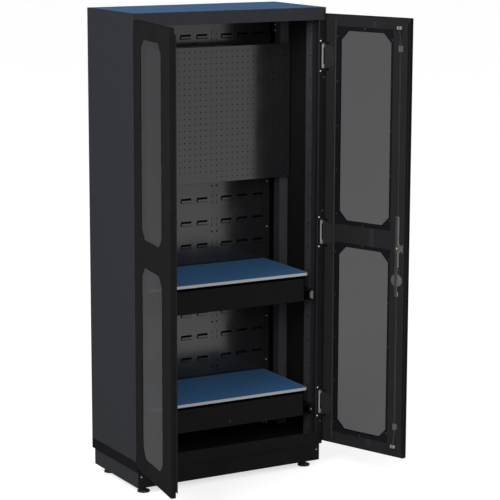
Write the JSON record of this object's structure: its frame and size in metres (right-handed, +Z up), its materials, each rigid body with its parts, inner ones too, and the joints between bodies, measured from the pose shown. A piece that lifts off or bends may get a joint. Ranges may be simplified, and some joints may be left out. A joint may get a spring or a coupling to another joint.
{
  "type": "anti-static storage cabinet",
  "caption": "Tall steel storage cabinet with glazed double doors, pull-out shelves with blue anti-static tops, a pegboard and a louvred back wall, on levelling feet.",
  "frame": {"origin": "on the floor under the centre of the carcass, doors left out", "axes": "+Z up, the doors' side faces -Y, +X to the right of someone who stands in front"},
  "size_m": [1.1244, 0.8798, 1.95],
  "materials": {
    "black_coat": "satin powder coat",
    "graphite_coat": "fine-textured powder coat",
    "satin_black_coat": "semi-gloss powder coat",
    "blue_laminate": "matt anti-static laminate on chipboard",
    "blue_mat": "matt anti-static mat",
    "zinc_plate": "bright zinc plate",
    "tinted_glazing": "clear smoke tint",
    "black_plastic": "moulded"
  },
  "bodies": {
    "cabinet": {"base_tray": "black_coat", "left_front_upright": "black_coat", "left_hinge_bracket_bottom": "zinc_plate", "left_hinge_bracket_middle": "zinc_plate", "left_hinge_bracket_top": "zinc_plate", "left_rear_upright": "black_coat", "left_side_panel": "graphite_coat", "louvre_panel_left": "satin_black_coat", "louvre_panel_middle": "satin_black_coat", "louvre_panel_right": "satin_black_coat", "lower_left_outer_runner": "zinc_plate", "lower_right_outer_runner": "zinc_plate", "pegboard": "satin_black_coat", "plinth": "graphite_coat", "rear_sheet": "black_coat", "right_front_upright": "black_coat", "right_hinge_bracket_bottom": "zinc_plate", "right_hinge_bracket_middle": "zinc_plate", "right_hinge_bracket_top": "zinc_plate", "right_rear_upright": "black_coat", "right_side_panel": "graphite_coat", "top_cap": "black_coat", "top_mat": "blue_mat", "upper_left_outer_runner": "zinc_plate", "upper_right_outer_runner": "zinc_plate"},
    "upper_shelf": {"upper_left_inner_runner": "zinc_plate", "upper_right_inner_runner": "zinc_plate", "upper_shelf_board": "blue_laminate", "upper_shelf_carrier": "black_coat"},
    "lower_shelf": {"lower_left_inner_runner": "zinc_plate", "lower_right_inner_runner": "zinc_plate", "lower_shelf_board": "blue_laminate", "lower_shelf_carrier": "black_coat"},
    "left_door": {"left_door_astragal": "black_coat", "left_door_liner": "black_coat", "left_door_lower_pane": "tinted_glazing", "left_door_skin": "black_coat", "left_door_upper_pane": "tinted_glazing", "left_hinge_leaf_bottom": "graphite_coat", "left_hinge_leaf_middle": "graphite_coat", "left_hinge_leaf_top": "graphite_coat"},
    "right_door": {"lock_guide_lower": "zinc_plate", "lock_guide_middle": "zinc_plate", "lock_guide_upper": "zinc_plate", "lock_rosette": "black_coat", "right_door_liner": "black_coat", "right_door_lower_pane": "tinted_glazing", "right_door_skin": "black_coat", "right_door_upper_pane": "tinted_glazing", "right_hinge_leaf_bottom": "graphite_coat", "right_hinge_leaf_middle": "graphite_coat", "right_hinge_leaf_top": "graphite_coat"},
    "lock_handle": {"lock_cam": "zinc_plate", "lock_handle": "black_coat"},
    "upper_rod": {"lock_rod_upper": "zinc_plate"},
    "lower_rod": {"lock_rod_lower": "zinc_plate"},
    "levelling_foot_front_left": {"levelling_foot_front_left": "black_plastic"},
    "levelling_foot_front_right": {"levelling_foot_front_right": "black_plastic"},
    "levelling_foot_rear_left": {"levelling_foot_rear_left": "black_plastic"},
    "levelling_foot_rear_right": {"levelling_foot_rear_right": "black_plastic"}
  },
  "joints": [
    {"name": "left_door_hinge", "type": "hinge", "parent": "cabinet", "child": "left_door", "pos_m": [-0.4315, -0.2245, 0], "axis": [0, 0, -1], "range_deg": [-99, 16]},
    {"name": "right_door_hinge", "type": "hinge", "parent": "cabinet", "child": "right_door", "pos_m": [0.4315, -0.2245, 0], "axis": [0, 0, 1], "range_deg": [-110.3, 4.7]},
    {"name": "upper_shelf_slide", "type": "slide", "parent": "cabinet", "child": "upper_shelf", "axis": [0, -1, 0], "range_m": [0, 0.27]},
    {"name": "lower_shelf_slide", "type": "slide", "parent": "cabinet", "child": "lower_shelf", "axis": [0, -1, 0], "range_m": [0, 0.27]},
    {"name": "lock_handle_turn", "type": "hinge", "parent": "right_door", "child": "lock_handle", "pos_m": [0.56524, -0.58606, 0.866], "axis": [-0.9379, -0.3469, 0], "range_deg": [0, 90]},
    {"name": "upper_rod_slide", "type": "slide", "parent": "right_door", "child": "upper_rod", "axis": [0, 0, 1], "range_m": [0, 0.01598]},
    {"name": "lower_rod_slide", "type": "slide", "parent": "right_door", "child": "lower_rod", "axis": [0, 0, -1], "range_m": [0, 0.01598]},
    {"name": "levelling_foot_front_left_turn", "type": "hinge", "parent": "cabinet", "child": "levelling_foot_front_left", "pos_m": [-0.382, -0.157, 0], "axis": [0, 0, 1], "continuous": true},
    {"name": "levelling_foot_front_right_turn", "type": "hinge", "parent": "cabinet", "child": "levelling_foot_front_right", "pos_m": [0.382, -0.157, 0], "axis": [0, 0, 1], "continuous": true},
    {"name": "levelling_foot_rear_left_turn", "type": "hinge", "parent": "cabinet", "child": "levelling_foot_rear_left", "pos_m": [-0.382, 0.157, 0], "axis": [0, 0, 1], "continuous": true},
    {"name": "levelling_foot_rear_right_turn", "type": "hinge", "parent": "cabinet", "child": "levelling_foot_rear_right", "pos_m": [0.382, 0.157, 0], "axis": [0, 0, 1], "continuous": true}
  ],
  "couplings": [
    {"joint": "upper_rod_slide", "follows": "lock_handle_turn", "m_per_rad": 0.010174},
    {"joint": "lower_rod_slide", "follows": "lock_handle_turn", "m_per_rad": 0.010174}
  ]
}
